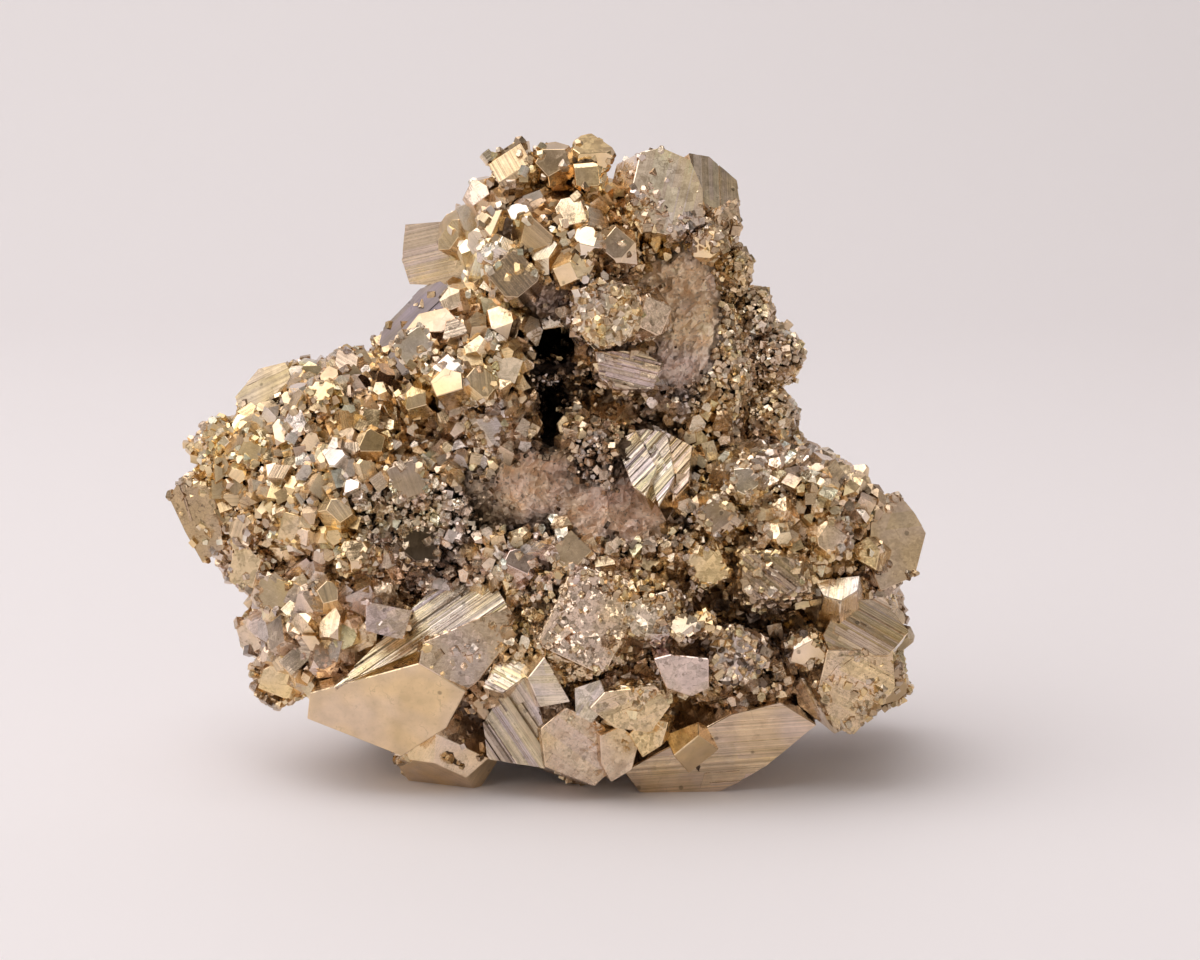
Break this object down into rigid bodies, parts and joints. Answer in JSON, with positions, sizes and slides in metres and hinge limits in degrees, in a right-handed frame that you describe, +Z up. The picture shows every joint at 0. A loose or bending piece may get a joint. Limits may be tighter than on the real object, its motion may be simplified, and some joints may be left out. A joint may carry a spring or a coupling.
{
  "type": "pyrite specimen",
  "caption": "Cluster of intergrown metallic pyrite crystals with a shallow vug in its front, standing on its lowest crystal faces.",
  "frame": {"origin": "under the middle of the specimen's box, on the surface it stands on", "axes": "+Z up, +X towards the right as seen from the front, -Y towards the front with the vug"},
  "size_m": [0.0945, 0.0499, 0.0801],
  "materials": {
    "pyrite": "bright metallic crystal faces with fine striations, duller and pitted in places"
  },
  "bodies": {
    "root": {"pyrite_cluster": "pyrite"}
  },
  "joints": []
}
